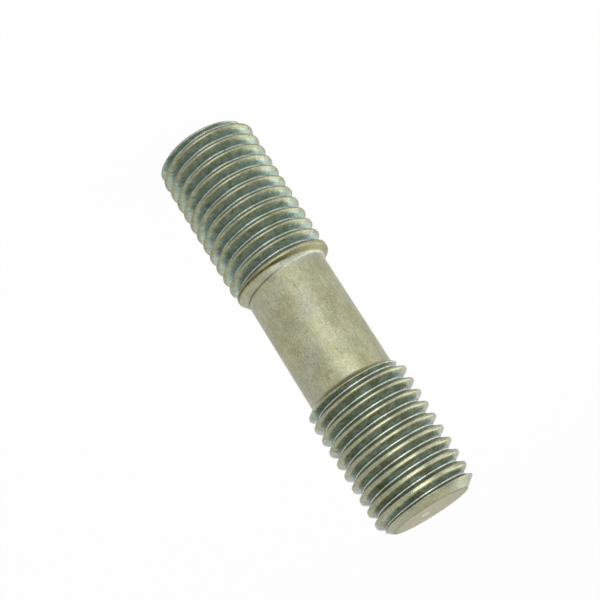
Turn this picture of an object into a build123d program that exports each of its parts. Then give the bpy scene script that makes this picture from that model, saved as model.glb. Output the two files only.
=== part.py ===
"""A steel double ended stud: a coarse metric thread on each end of a waisted shank.

It stands on its foot end. The origin is at the middle of the foot face, and +Z runs
along the axis to the top end.
"""

import os
from math import ceil, radians, tan

from build123d import *

# Driving dimensions, in millimetres and degrees.
length = 65.0

pitch = 2.0
flank_angle = 60.0

foot_thread_d = 15.88
foot_thread_length = 24.85
foot_bevel_angle = 60.0
foot_groove_angle = 97.2

# The top thread is a little slimmer at its end than at the shank.
top_thread_d = 16.0
top_thread_end_d = 15.4
top_thread_length = 20.9
top_bevel_angle = 50.0
top_groove_angle = 12.6

# Past the foot thread's shoulder a low cone runs out to the shank, off centre, so it's longer on one side.
run_out_d = 15.3
run_out_length = 0.55
run_out_angle = 36.0
run_out_offset = 0.4

shank_d = 13.3

foot_face_d = 13.2
foot_chamfer_length = 0.9
top_face_d = 12.1
top_chamfer_length = 1.3

centre_mark_d = 1.1
centre_mark_floor_d = 0.4
centre_mark_depth = 0.3
centre_mark_offset = 0.8

cutter_reach = 0.1

# The ISO metric thread profile: a triangle one pitch wide, cut off at the crest, with
# a flat root a sixth of a pitch wide, 17/24 of the triangle's height under the crest.
flank_slope = tan(radians(flank_angle / 2))
thread_depth = pitch / 2 / flank_slope * 17 / 24
root_half_width = pitch / 12
mouth_half_width = root_half_width + (thread_depth + cutter_reach) * flank_slope

foot_thread_r = foot_thread_d / 2
top_thread_r = top_thread_d / 2
shank_r = shank_d / 2
foot_bevel_length = (foot_thread_r - shank_r) / tan(radians(foot_bevel_angle))
run_out_slope = tan(radians(run_out_angle))
top_bevel_length = (top_thread_r - shank_r) / tan(radians(top_bevel_angle))
foot_shank_z = foot_thread_length
top_shank_z = length - top_thread_length

# Each end's plane looks into the stud, and its X axis passes where the groove crosses it.
foot_end = Plane.XY.rotated((0, 0, foot_groove_angle))
top_end = Plane(origin=(0, 0, length), z_dir=(0, 0, -1)).rotated((0, 0, top_groove_angle))


def groove(end, thread_r, turns):
    """Turns of a thread's groove from one end's plane inwards, after one that lies outside the stud."""
    core_r = thread_r - thread_depth
    mouth_r = thread_r + cutter_reach
    with BuildPart() as turn:
        with BuildLine() as path:
            Helix(pitch, pitch, core_r)
        with BuildSketch(Plane.XZ):
            with BuildLine():
                Polyline(
                    (core_r, -root_half_width),
                    (mouth_r, -mouth_half_width),
                    (mouth_r, mouth_half_width),
                    (core_r, root_half_width),
                    close=True,
                )
            make_face()
        sweep(path=path.line, is_frenet=True)
    return [end.offset(pitch * index).location * turn.part for index in range(-1, turns)]


foot_groove = groove(foot_end, foot_thread_r, int(foot_thread_length / pitch))
top_groove = groove(top_end, top_thread_r, ceil(top_thread_length / pitch) + 1)

# The run-out's cone reaches the shank on its longer side, and inside the shank on the other.
run_out_end_z = foot_shank_z + run_out_length + run_out_offset / run_out_slope
with BuildPart() as run_out:
    with Locations((run_out_offset, 0, run_out_end_z)):
        Cone(
            bottom_radius=foot_thread_r + run_out_offset,
            top_radius=shank_r - run_out_offset,
            height=(foot_thread_r - shank_r + 2 * run_out_offset) / run_out_slope,
            align=(Align.CENTER, Align.CENTER, Align.MAX),
        )
    Cylinder(
        radius=run_out_d / 2,
        height=run_out_end_z,
        align=(Align.CENTER, Align.CENTER, Align.MIN),
        mode=Mode.INTERSECT,
    )

with BuildPart() as stud:
    with BuildSketch(Plane.XZ):
        with BuildLine():
            Polyline(
                (0, 0),
                (foot_face_d / 2, 0),
                (foot_thread_r, foot_chamfer_length),
                (foot_thread_r, foot_shank_z - foot_bevel_length),
                (shank_r, foot_shank_z),
                (shank_r, top_shank_z),
                (top_thread_r, top_shank_z + top_bevel_length),
                (top_thread_end_d / 2, length - top_chamfer_length),
                (top_face_d / 2, length),
                (0, length),
                close=True,
            )
        make_face()
    revolve(axis=Axis.Z)
    add(run_out)
    add(foot_groove, mode=Mode.SUBTRACT)
    add(top_groove, mode=Mode.SUBTRACT)
    with Locations(Plane(origin=(centre_mark_offset, 0, length), z_dir=(0, 0, 1))):
        Cone(
            bottom_radius=centre_mark_floor_d / 2,
            top_radius=centre_mark_d / 2,
            height=centre_mark_depth,
            align=(Align.CENTER, Align.CENTER, Align.MAX),
            mode=Mode.SUBTRACT,
        )

stud.part.label = "stud"
os.makedirs("parts", exist_ok=True)
export_step(stud.part, "parts/stud.step")
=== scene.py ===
"""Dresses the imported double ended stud: a rolled thread mesh, a passivated zinc finish and a small studio."""

from math import pi, radians, tan

import bmesh
import bpy
import numpy as np
from mathutils import Matrix, Vector


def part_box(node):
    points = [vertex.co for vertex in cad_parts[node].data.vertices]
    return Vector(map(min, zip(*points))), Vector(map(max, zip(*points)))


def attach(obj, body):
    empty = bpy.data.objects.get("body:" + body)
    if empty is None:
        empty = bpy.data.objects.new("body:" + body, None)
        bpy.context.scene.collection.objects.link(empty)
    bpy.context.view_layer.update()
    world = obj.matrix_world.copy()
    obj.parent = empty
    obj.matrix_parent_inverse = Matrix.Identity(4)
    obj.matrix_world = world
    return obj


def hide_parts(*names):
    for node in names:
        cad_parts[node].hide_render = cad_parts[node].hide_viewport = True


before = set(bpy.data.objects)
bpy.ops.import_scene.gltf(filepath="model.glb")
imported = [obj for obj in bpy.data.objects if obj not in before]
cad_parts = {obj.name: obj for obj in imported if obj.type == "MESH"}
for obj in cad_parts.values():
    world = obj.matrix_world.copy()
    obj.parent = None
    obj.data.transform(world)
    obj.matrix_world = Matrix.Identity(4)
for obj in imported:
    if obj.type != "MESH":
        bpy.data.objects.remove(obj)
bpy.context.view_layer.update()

MM = 0.001

# The stud, in millimetres and degrees, as its solid has it.
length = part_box("stud")[1].z / MM

# The basic metric profile: the groove is 17/24 of the thread's triangle deep, and its root is a sixth
# of a pitch wide.
pitch = 2.0
flank_slope = tan(radians(30.0))
thread_depth = pitch / 2 / flank_slope * 17 / 24
root_half_width = pitch / 12

foot_thread_r = 7.94
foot_thread_length = 24.85
foot_bevel_angle = 60.0
foot_groove_turn = 97.2 / 360

# The top thread's crest is a hair lower than its solid's, whose flat facets cut its circle short.
top_thread_r = 7.98
top_thread_end_r = 7.7
top_thread_length = 20.9
top_bevel_angle = 50.0
top_groove_turn = 167.4 / 360

shank_r = 6.65

foot_face_r = 6.6
foot_chamfer_length = 0.9
top_face_r = 6.05
top_chamfer_length = 1.3

centre_mark_r = 0.55
centre_mark_floor_r = 0.2
centre_mark_depth = 0.3
centre_mark_offset = 0.8

# Past the foot thread's shoulder a low cone runs out to the shank, off centre, so it's longer on one side.
run_out_r = 7.65
run_out_length = 0.55
run_out_slope = tan(radians(36.0))
run_out_offset = 0.4

# The last ridge before the shoulder sinks round its turn, and the groove below it ends in a short slope.
ridge_full_turn = 0.23
ridge_fade = 0.62
groove_end_turn = 0.92

# The groove's middle sits a little above the middle between two crests.
groove_lean = 0.1

# How far the corners of the blank and of the groove are rounded.
blank_round = 0.09
blank_samples = 5
root_round = 0.3
crest_round = 0.13

# The mesh's resolution. Its rows follow the helix, so every thread edge lies along a row.
columns = 160
rows_per_pitch = 20
shank_rows = 24
shank_margin = 1.3
weld_distance = 0.0005

# The end faces: the height where their rounded edge starts, the ring in its middle (how far outside the
# face, and how high), how far it reaches into the face, and the rings inside it.
edge_height = 0.06
edge_ring = (0.01, 0.015)
edge_width = 0.05
face_ring_shares = (0.85, 0.6, 0.4, 0.25)
mark_ring_r = 0.8
mark_lip = 0.05
mark_wall_step = 0.07

# How the material's attributes are measured: the heights above and below a place that its lean and its
# corner are taken from, the least depth and the greatest height above the last groove that count as thread.
lean_step = 0.05
corner_step = 0.16
least_thread_depth = 0.15
last_groove_reach = 1.1

# Painted shade lies in corners sharper than a limit, and in a line where the shoulder meets the run-out.
shade_corner = 0.15
shade_corner_fade = 0.35
shoulder_line_z = 24.42
shoulder_line_reach = 0.14
shoulder_line_fade = 0.1

# The finish's colours. Where there are two, the mottle goes from one to the other.
zinc_green = (0.38, 0.395, 0.30, 1)
zinc_yellow = (0.345, 0.345, 0.205, 1)
zinc_stain = (0.365, 0.355, 0.235, 1)
turned = (0.20, 0.18, 0.08, 1), (0.36, 0.335, 0.18, 1)
turned_cloud = (0.42, 0.40, 0.26, 1)
turned_rim = (0.14, 0.13, 0.06, 1)
crest = (0.29, 0.31, 0.19, 1), (0.34, 0.33, 0.225, 1)
olive = (0.27, 0.29, 0.14, 1), (0.42, 0.43, 0.29, 1)
teal = (0.22, 0.37, 0.27, 1), (0.37, 0.50, 0.42, 1)
slate = (0.16, 0.22, 0.18, 1), (0.40, 0.46, 0.45, 1)
foot_teal = (0.36, 0.52, 0.47, 1)
root_shade = (0.15, 0.19, 0.16, 1)
falling_shade = (0.135, 0.15, 0.105, 1)
# A painted highlight: the bright line along the groove's root.
painted_root_highlight = (0.70, 0.73, 0.62, 1)
# A painted highlight: the glint on the top face's centre mark.
painted_mark_glint = (0.66, 0.64, 0.5, 1)
# Painted shade: the band over the foot thread's shoulder.
painted_shoulder_shade = (0.26, 0.25, 0.13, 1)
# A painted highlight: the pale patch on the collar, on the lamps' side.
painted_collar_highlight = (0.42, 0.44, 0.36, 1)
# Painted shade: near black in corners and along the shoulder line.
painted_corner_shade = (0.045, 0.04, 0.02, 1)
speck_brown = (0.13, 0.13, 0.08, 1)

# Where the finish changes, in millimetres: each goes from none to all, and four values fade in and out.
foot_half_z = (44.0, 20.0)
top_end_z = (59.0, 64.0)
# Heights of the painted shade on the shoulder.
shoulder_shade_z = (24.0, 24.2, 24.6, 24.75)
# Heights and sideways reach of the painted highlight on the collar.
collar_highlight_z = (24.6, 24.8, 25.0, 25.9)
collar_highlight_x = (3.0, 0.0)
# Sideways reach of the painted corner shade, which lies on the side away from the lamps.
corner_shade_x = (-3.0, 0.0)
face_rim_r = (5.0, 6.0)
# Radii of the painted glint about the centre mark.
mark_glint_r = (0.75, 0.5)

# The same for depth in the groove, from 0 at the crest to 1 at the root.
rising_crest = (0.02, 0.14)
rising_flank = (0.2, 0.5)
rising_root = (0.78, 0.92)
falling_crest = (0.0, 0.08)
# Depth in the groove of the painted root highlight.
root_highlight_depth = (0.84, 0.92)
flank_depth = (0.15, 0.4)
film_depth = (0.05, 0.3)

# The same for lean, from -1 where the surface faces the foot to 1 where it faces the top.
top_facing = (-0.2, 0.2)
# Lean of the surface that takes the painted root highlight.
root_highlight_lean = (-0.85, -0.55, 0.0, 0.25)

# The finish's shine, and the height of its fine marks.
film_metal_loss = 0.25
plain_roughness = 0.36
thread_roughness_loss = 0.10
mottle_roughness = 0.08
bump_strength = 0.5
bump_height = 0.03

# The studio. The white that the camera and reflections see is brighter than the light that it gives.
floor_size = 40
floor_grey = (0.9, 0.9, 0.9, 1)
white = (1, 1, 1, 1)
floor_glow_share = 0.97
world_light = 0.5

# The camera looks level along +Y, tilted down and rolled over, so that the stud lies across the picture.
camera_aim = Vector((-0.25, 0, 28.84)) * MM
camera_distance = 196.65 * MM
camera_tilt = radians(17.75)
camera_roll = radians(147.77)
camera_lens = 80.34
camera_clip = (0.01, 100)


def blank_radius(z):
    """The turned blank's radius at a height: chamfer, thread, bevel, shank, and the same back."""
    foot_bevel_length = (foot_thread_r - shank_r) / tan(radians(foot_bevel_angle))
    top_bevel_length = (top_thread_r - shank_r) / tan(radians(top_bevel_angle))
    corners = [
        (0.0, foot_face_r),
        (foot_chamfer_length, foot_thread_r),
        (foot_thread_length - foot_bevel_length, foot_thread_r),
        (foot_thread_length, shank_r),
        (length - top_thread_length, shank_r),
        (length - top_thread_length + top_bevel_length, top_thread_r),
        (length - top_chamfer_length, top_thread_end_r),
        (length, top_face_r),
    ]
    heights, radii = zip(*corners)
    asides = np.linspace(-blank_round, blank_round, blank_samples)
    near = [np.interp(z + aside, heights, radii) for aside in asides]
    return sum(near) / len(near)


def smooth_min(a, b, width):
    """The lower of two values, with the corner between them rounded."""
    overlap = np.maximum(width - np.abs(a - b), 0.0) / width
    return np.minimum(a, b) - overlap * overlap * width / 4


def smooth_max(a, b, width):
    """The higher of two values, with the corner between them rounded."""
    return -smooth_min(-a, -b, width)


def groove_radius(height, core_r):
    """The radius of a groove and its flanks at a height above the middle of any turn of it."""
    above = (height + pitch / 2) % pitch - pitch / 2
    stretch = np.where(above > groove_lean, pitch / 2 - groove_lean, pitch / 2 + groove_lean)
    aside = np.abs(above - groove_lean) / stretch * pitch / 2
    return smooth_max(core_r + (aside - root_half_width) / flank_slope, core_r, root_round)


def above_last_groove(turn, z):
    """How far round the foot groove's last turn a place is, and its height above that groove's root."""
    along = (turn - foot_groove_turn) % 1.0
    return along, z - (foot_thread_length // pitch - 1 + along) * pitch


def foot_radius(turn, z):
    """The foot half's radius: the thread up to its shoulder, the run-out and the shank."""
    along, height = above_last_groove(turn, z)
    ending = np.maximum(along - groove_end_turn, 0.0) / (1 - groove_end_turn)
    last = height > -pitch / 2
    groove = groove_radius(height, foot_thread_r - thread_depth) + np.where(last, ending * thread_depth, 0.0)
    groove = np.where(height > pitch / 2, foot_thread_r + crest_round, groove)
    sunk = ridge_fade * np.maximum(along - ridge_full_turn, 0.0) * (1 - ending)
    ridge = np.minimum(blank_radius(z), foot_thread_r - np.where(height > 0, sunk, 0.0))
    off_centre = run_out_offset * np.cos(turn * 2 * pi)
    run_out = shank_r + off_centre + (foot_thread_length + run_out_length - z) * run_out_slope
    ridge = np.where(last, smooth_max(ridge, np.minimum(run_out, run_out_r), blank_round), ridge)
    return smooth_min(ridge, groove, crest_round)


def surface_radius(turn, z):
    """The stud's radius at a share of a turn about the axis, and a height."""
    top_groove = groove_radius(z - length - (turn + top_groove_turn) * pitch, top_thread_r - thread_depth)
    top = smooth_min(blank_radius(z), top_groove, crest_round)
    return np.where(z < length / 2, foot_radius(turn, z), top)


def grid_faces(rows, across, first):
    """Quads between neighbouring rows and columns of a grid of vertices."""
    low = first + np.arange(rows - 1)[:, None] * across + np.arange(across - 1)[None, :]
    return np.stack([low, low + 1, low + across + 1, low + across], axis=-1).reshape(-1, 4)


def helix_heights(low, high, start):
    """Heights of rows that climb a pitch in each turn, held between two heights."""
    first = int((low - start) / pitch * rows_per_pitch) - rows_per_pitch - 1
    last = int((high - start) / pitch * rows_per_pitch) + 2
    row = np.arange(first, last)[:, None] / rows_per_pitch
    turn = np.arange(columns + 1)[None, :] / columns
    return np.clip(start + (row + turn) * pitch, low, high)


def side(z):
    """Vertices of the stud's side at a grid of heights, and the attributes that the material reads there.

    They are how deep in the groove a place is, how its surface leans, how much painted shade a corner there
    takes, whether it is on a thread, and whether it is on an end face.
    """
    turn = np.broadcast_to(np.arange(columns + 1)[None, :] / columns, z.shape)
    below, radius, above = (surface_radius(turn, z + aside) for aside in (-lean_step, 0.0, lean_step))
    slope = (above - below) / (2 * lean_step)
    lean = -slope / np.sqrt(1 + slope * slope)
    around = surface_radius(turn, z + corner_step) + surface_radius(turn, z - corner_step)
    corner = (around - 2 * radius) / corner_step
    blank_r = blank_radius(z)
    core_r = np.where(z < length / 2, foot_thread_r, top_thread_r) - thread_depth
    before_shoulder = above_last_groove(turn, z)[1] < last_groove_reach
    threaded = (blank_r > core_r + least_thread_depth) & (before_shoulder | (z > length / 2))
    hollow = (blank_r - radius) / np.maximum(blank_r - core_r, least_thread_depth)
    # Painted shade in corners off the thread and along the shoulder line, in the foot half only.
    corner_shade = np.clip((corner - shade_corner) / shade_corner_fade, 0, 1) * ~threaded
    off_line = np.abs(z - shoulder_line_z)
    line = np.clip((shoulder_line_reach - off_line) / shoulder_line_fade, 0, 1)
    corner_shade = np.maximum(corner_shade, line) * (z < length / 2)
    points = np.stack([radius * np.cos(turn * 2 * pi), radius * np.sin(turn * 2 * pi), z], axis=-1)
    return points, np.clip(hollow, 0, 1) * threaded, lean, corner_shade, threaded * 1.0, np.zeros(z.shape)


def cap(face_z, inward, face_r, mark_depth):
    """Vertices of an end face, in rings from its edge to the middle of its centre mark."""
    turn = np.arange(columns + 1) / columns
    circle = np.stack([np.cos(turn * 2 * pi), np.sin(turn * 2 * pi)], axis=-1)
    edge = circle * surface_radius(turn, face_z + inward * edge_height)[:, None]
    rim = circle * (face_r - edge_width)
    centre = np.array([centre_mark_offset, 0.0])
    out = rim - centre
    reach = np.linalg.norm(out, axis=1)[:, None]
    mark_radii = [mark_ring_r, centre_mark_r + mark_lip, centre_mark_r, centre_mark_r - mark_wall_step]
    mark_radii += [centre_mark_floor_r + mark_lip, centre_mark_floor_r, centre_mark_floor_r / 2, 0.0]
    ring_past_face, ring_height = edge_ring
    rings = [(edge, edge_height), (circle * (face_r + ring_past_face), ring_height), (rim, 0.0)]
    rings += [(centre + out * share, 0.0) for share in face_ring_shares]
    for radius in mark_radii:
        sunk = np.clip((centre_mark_r - radius) / (centre_mark_r - centre_mark_floor_r), 0, 1)
        rings.append((centre + out / reach * radius, mark_depth * sunk))
    placed = []
    for ring, depth in rings:
        placed.append(np.column_stack([ring, np.full(len(ring), face_z + inward * depth)]))
    return np.stack(placed)


attributes = ("hollow", "lean", "corner_shade", "threaded", "face")


def stud_mesh():
    """The whole surface as one closed mesh, in metres, with attributes that its material reads."""
    foot_shank_z = foot_thread_length + shank_margin
    top_shank_z = length - top_thread_length - shank_margin
    sides = [
        helix_heights(edge_height, foot_shank_z, -foot_groove_turn * pitch),
        np.repeat(np.linspace(foot_shank_z, top_shank_z, shank_rows)[:, None], columns + 1, axis=1),
        helix_heights(top_shank_z, length - edge_height, length + top_groove_turn * pitch),
    ]
    grids = [side(z) for z in sides]
    for points in (cap(0.0, 1, foot_face_r, 0.0), cap(length, -1, top_face_r, centre_mark_depth)):
        none = np.zeros(points.shape[:2])
        grids.append((points, none, none, none, none, none + 1))
    faces, count = [], 0
    for points, *_ in grids:
        faces.append(grid_faces(*points.shape[:2], count))
        count += points.shape[0] * points.shape[1]
    vertices = np.concatenate([points.reshape(-1, 3) for points, *_ in grids])
    mesh = bpy.data.meshes.new("stud_surface")
    mesh.from_pydata(vertices * MM, [], np.concatenate(faces).tolist())
    for index, name in enumerate(attributes, 1):
        values = np.concatenate([grid[index].ravel() for grid in grids])
        mesh.attributes.new(name, "FLOAT", "POINT").data.foreach_set("value", values)
    work = bmesh.new()
    work.from_mesh(mesh)
    bmesh.ops.remove_doubles(work, verts=work.verts, dist=weld_distance * MM)
    bmesh.ops.recalc_face_normals(work, faces=work.faces)
    work.to_mesh(mesh)
    work.free()
    mesh.shade_smooth()
    return mesh


def node(tree, kind, inputs=None, **settings):
    """A shader node with its settings, and with its inputs set to values or linked to sockets."""
    made = tree.nodes.new("ShaderNode" + kind)
    for name, value in settings.items():
        setattr(made, name, value)
    for key, value in (inputs or {}).items():
        if isinstance(value, bpy.types.NodeSocket):
            tree.links.new(value, made.inputs[key])
        else:
            made.inputs[key].default_value = value
    return made


def math(tree, operation, a, b=0.0, c=0.0):
    """The result of a Math node on values or sockets."""
    return node(tree, "Math", {0: a, 1: b, 2: c}, operation=operation).outputs[0]


def span(tree, value, low, high):
    """How far a value is from one limit to another, as 0 to 1."""
    return node(tree, "MapRange", {"Value": value, "From Min": low, "From Max": high}).outputs["Result"]


def band(tree, value, low, low_full, high_full, high):
    """1 between the two middle limits, fading to 0 at the outer ones."""
    return math(tree, "MULTIPLY", span(tree, value, low, low_full), span(tree, value, high, high_full))


def blend(tree, share, a, b):
    """A share of the way from colour a to colour b."""
    return node(tree, "Mix", {0: share, 6: a, 7: b}, data_type="RGBA").outputs[2]


def noise(tree, vector, scale, detail, roughness=0.5, stretch=(1, 1, 1)):
    """A noise value, with its scale in waves per millimetre."""
    scaled = node(tree, "VectorMath", {0: vector, 1: [scale * s for s in stretch]}, operation="MULTIPLY")
    inputs = {"Vector": scaled.outputs[0], "Scale": 1.0, "Detail": detail, "Roughness": roughness}
    return node(tree, "TexNoise", inputs).outputs["Fac"]


def attribute(tree, name):
    """The value of one of the mesh's attributes."""
    return node(tree, "Attribute", attribute_name=name).outputs["Fac"]


def scale_by(tree, colour, *tones):
    """A colour with its lightness multiplied by each tone."""
    for tone in tones:
        colour = node(tree, "VectorMath", {0: colour, "Scale": tone}, operation="SCALE").outputs[0]
    return colour


def swing(tree, value, amount):
    """A tone about 1 that follows a value from 0 to 1, up and down by an amount."""
    return math(tree, "MULTIPLY_ADD", value, 2 * amount, 1 - amount)


def plated_steel():
    """Zinc plate with a greenish yellow passivate, darker and greener in the thread."""
    material = bpy.data.materials.new("plated_steel")
    material.use_nodes = True
    tree = material.node_tree
    shader = tree.nodes["Principled BSDF"]
    metres = node(tree, "TexCoord").outputs["Object"]
    place = node(tree, "VectorMath", {0: metres, "Scale": 1 / MM}, operation="SCALE").outputs[0]
    hollow, lean, corner_shade, threaded, face = (attribute(tree, name) for name in attributes)

    # Noise from the largest patches to the finest grain.
    patch = span(tree, noise(tree, place, 0.16, detail=3), 0.38, 0.6)
    stain = span(tree, noise(tree, place, 0.42, detail=4, roughness=0.62), 0.4, 0.58)
    mottle = span(tree, noise(tree, place, 1.1, detail=4, roughness=0.62), 0.36, 0.62)
    cloud = span(tree, noise(tree, place, 3.0, detail=3, roughness=0.6), 0.32, 0.68)
    grain = noise(tree, place, 6.5, detail=3, roughness=0.65)
    streak = noise(tree, place, 1.0, detail=3, roughness=0.6, stretch=(5, 5, 0.5))
    speck = span(tree, noise(tree, place, 3.6, detail=2), 0.64, 0.7)
    tarnish = span(tree, noise(tree, place, 0.45, detail=5, roughness=0.7), 0.52, 0.66)
    off_axis = node(tree, "VectorMath", {0: place, 1: (1, 1, 0)}, operation="MULTIPLY").outputs[0]
    from_axis = node(tree, "VectorMath", {0: off_axis}, operation="LENGTH").outputs["Value"]
    ring_place = node(tree, "CombineXYZ", {"X": from_axis}).outputs[0]
    ring = noise(tree, ring_place, 5.0, detail=3, roughness=0.6)

    # Where on the stud a place is.
    split = node(tree, "SeparateXYZ", {0: place}).outputs
    x_mm, z_mm = split["X"], split["Z"]
    mark_place = (centre_mark_offset, 0.0, length)
    off_mark = node(tree, "VectorMath", {0: place, 1: mark_place}, operation="DISTANCE").outputs["Value"]
    foot_half = span(tree, z_mm, *foot_half_z)
    faces_top = span(tree, lean, *top_facing)
    on_flank = math(tree, "MULTIPLY", faces_top, span(tree, hollow, *flank_depth))
    # Painted highlight along the groove's root.
    root_highlight = band(tree, lean, *root_highlight_lean)
    root_highlight = math(tree, "MULTIPLY", span(tree, hollow, *root_highlight_depth), root_highlight)

    # The shank and the blank's other plain surfaces.
    plain = blend(tree, patch, zinc_green, zinc_yellow)
    plain = blend(tree, math(tree, "MULTIPLY", stain, 0.6), plain, zinc_stain)

    # The end faces.
    face_colour = blend(tree, mottle, *turned)
    face_colour = blend(tree, math(tree, "MULTIPLY", cloud, 0.5), face_colour, turned_cloud)
    near_rim = math(tree, "MULTIPLY", span(tree, from_axis, *face_rim_r), 0.6)
    face_colour = blend(tree, near_rim, face_colour, turned_rim)

    # The thread: one flank faces the top, the other the foot.
    crest_colour = blend(tree, mottle, *crest)
    olive_colour = blend(tree, mottle, *olive)
    flank = blend(tree, stain, olive_colour, blend(tree, mottle, *teal))
    flank = blend(tree, math(tree, "MULTIPLY", mottle, patch), flank, blend(tree, mottle, *slate))
    flank = blend(tree, math(tree, "MULTIPLY", foot_half, 0.4), flank, foot_teal)
    rising = blend(tree, span(tree, hollow, *rising_crest), crest_colour, olive_colour)
    rising = blend(tree, span(tree, hollow, *rising_flank), rising, flank)
    rising = blend(tree, span(tree, hollow, *rising_root), rising, root_shade)
    falling = blend(tree, span(tree, hollow, *falling_crest), crest_colour, falling_shade)
    thread = blend(tree, faces_top, falling, rising)
    thread = blend(tree, root_highlight, thread, painted_root_highlight)

    # Painted light: a glint on the centre mark, shade on the shoulder, a highlight on the collar, shade in
    # corners; then specks over everything.
    colour = blend(tree, threaded, plain, thread)
    colour = blend(tree, face, colour, face_colour)
    # Painted highlight: the centre mark glints.
    colour = blend(tree, span(tree, off_mark, *mark_glint_r), colour, painted_mark_glint)
    # Painted shade over the shoulder.
    colour = blend(tree, band(tree, z_mm, *shoulder_shade_z), colour, painted_shoulder_shade)
    # Painted highlight on the collar, on the lamps' side, broken up by the mottle.
    collar_highlight = math(tree, "MULTIPLY", band(tree, z_mm, *collar_highlight_z), span(tree, x_mm, *collar_highlight_x))
    collar_highlight = math(tree, "MULTIPLY", collar_highlight, swing(tree, mottle, 0.5))
    colour = blend(tree, collar_highlight, colour, painted_collar_highlight)
    # Painted shade in corners, on the side away from the lamps.
    shaded_corners = math(tree, "MULTIPLY", corner_shade, span(tree, x_mm, *corner_shade_x))
    colour = blend(tree, shaded_corners, colour, painted_corner_shade)
    colour = blend(tree, math(tree, "MULTIPLY", speck, 0.6), colour, speck_brown)

    # Lightness. In the foot half the flank that faces the top is lighter, and the rest of the thread darker, a
    # painted shade of weaker light there.
    amounts = ((cloud, 0.14), (grain, 0.55), (streak, 0.3), (stain, 0.08))
    tones = [swing(tree, value, amount) for value, amount in amounts]
    # Painted shade: the foot half's thread is darker, as where less light falls.
    foot_thread_shade = math(tree, "MULTIPLY", foot_half, threaded)
    foot_thread_shade_amount = math(tree, "MULTIPLY_ADD", on_flank, 0.3, -0.16)
    tones.append(math(tree, "MULTIPLY_ADD", foot_thread_shade, foot_thread_shade_amount, 1.0))
    tarnished = math(tree, "MULTIPLY", tarnish, on_flank)
    tones.append(math(tree, "MULTIPLY_ADD", tarnished, -0.4, 1.0))
    end_flank = math(tree, "MULTIPLY", span(tree, z_mm, *top_end_z), on_flank)
    tones.append(math(tree, "MULTIPLY_ADD", end_flank, -0.35, 1.0))
    tree.links.new(scale_by(tree, colour, *tones), shader.inputs["Base Color"])

    # The passivate's film dulls the groove's metal, except along the painted highlight at the root.
    film = math(tree, "MULTIPLY", threaded, span(tree, hollow, *film_depth))
    film = math(tree, "MULTIPLY", film, math(tree, "SUBTRACT", 1.0, root_highlight))
    tree.links.new(math(tree, "MULTIPLY_ADD", film, -film_metal_loss, 1.0), shader.inputs["Metallic"])
    rough = math(tree, "MULTIPLY_ADD", threaded, -thread_roughness_loss, plain_roughness)
    tree.links.new(math(tree, "MULTIPLY_ADD", mottle, mottle_roughness, rough), shader.inputs["Roughness"])

    marks = math(tree, "ADD", math(tree, "ADD", grain, streak), math(tree, "MULTIPLY", ring, face))
    bump = node(tree, "Bump", {"Height": marks, "Strength": bump_strength, "Distance": bump_height * MM})
    tree.links.new(bump.outputs[0], shader.inputs["Normal"])
    return material


stud = bpy.data.objects.new("stud_surface", stud_mesh())
bpy.context.collection.objects.link(stud)
stud.data.materials.append(plated_steel())
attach(stud, "root")
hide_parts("stud")


def background_share(tree):
    """1 for the rays that see the white background, 0 for those that carry its light."""
    path = node(tree, "LightPath").outputs
    seen = math(tree, "MAXIMUM", path["Is Camera Ray"], path["Is Glossy Ray"])
    return math(tree, "MAXIMUM", seen, path["Is Transmission Ray"])


def floor_material():
    """A matte floor that still shows a shadow, and looks nearly white."""
    material = bpy.data.materials.new("pale_floor")
    material.use_nodes = True
    tree = material.node_tree
    tree.nodes.clear()
    matte = node(tree, "BsdfDiffuse", {"Color": floor_grey})
    glow = node(tree, "Emission", {"Color": white, "Strength": 1.0})
    share = math(tree, "MULTIPLY", background_share(tree), floor_glow_share)
    mix = node(tree, "MixShader", {0: share, 1: matte.outputs[0], 2: glow.outputs[0]})
    node(tree, "OutputMaterial", {"Surface": mix.outputs[0]})
    return material


def soft_box(name, place, size, power):
    """A square lamp, in metres and watts, aimed at the stud's middle."""
    light = bpy.data.lights.new(name, "AREA")
    light.shape = "SQUARE"
    light.size = size
    light.energy = power
    lamp = bpy.data.objects.new(name, light)
    lamp.location = place
    aim = Vector((0, 0, length / 2 * MM)) - lamp.location
    lamp.rotation_euler = aim.to_track_quat("-Z", "Y").to_euler()
    bpy.context.collection.objects.link(lamp)


bpy.ops.mesh.primitive_plane_add(size=floor_size)
floor = bpy.context.object
floor.name = "floor"
floor.data.materials.append(floor_material())

soft_box("key", (-0.065, -0.26, 0.07), size=0.22, power=0.46)
soft_box("side", (-0.38, 0.28, 0.28), size=0.30, power=0.5)
soft_box("fill", (-0.42, -0.05, 0.06), size=0.30, power=0.46)

world = bpy.data.worlds.new("studio")
bpy.context.scene.world = world
world.use_nodes = True
background = world.node_tree.nodes["Background"]
background.inputs["Color"].default_value = white
seen_share = background_share(world.node_tree)
brightness = math(world.node_tree, "MULTIPLY_ADD", seen_share, 1.0 - world_light, world_light)
world.node_tree.links.new(brightness, background.inputs["Strength"])

camera_data = bpy.data.cameras.new("camera")
camera_data.lens = camera_lens
camera_data.clip_start, camera_data.clip_end = camera_clip
camera = bpy.data.objects.new("camera", camera_data)
camera_turn = Matrix.Rotation(pi / 2 - camera_tilt, 4, "X") @ Matrix.Rotation(camera_roll, 4, "Z")
camera_back = Matrix.Translation((0, 0, camera_distance))
camera.matrix_world = Matrix.Translation(camera_aim) @ camera_turn @ camera_back
bpy.context.collection.objects.link(camera)
bpy.context.scene.camera = camera

bpy.context.scene.view_settings.view_transform = "Standard"
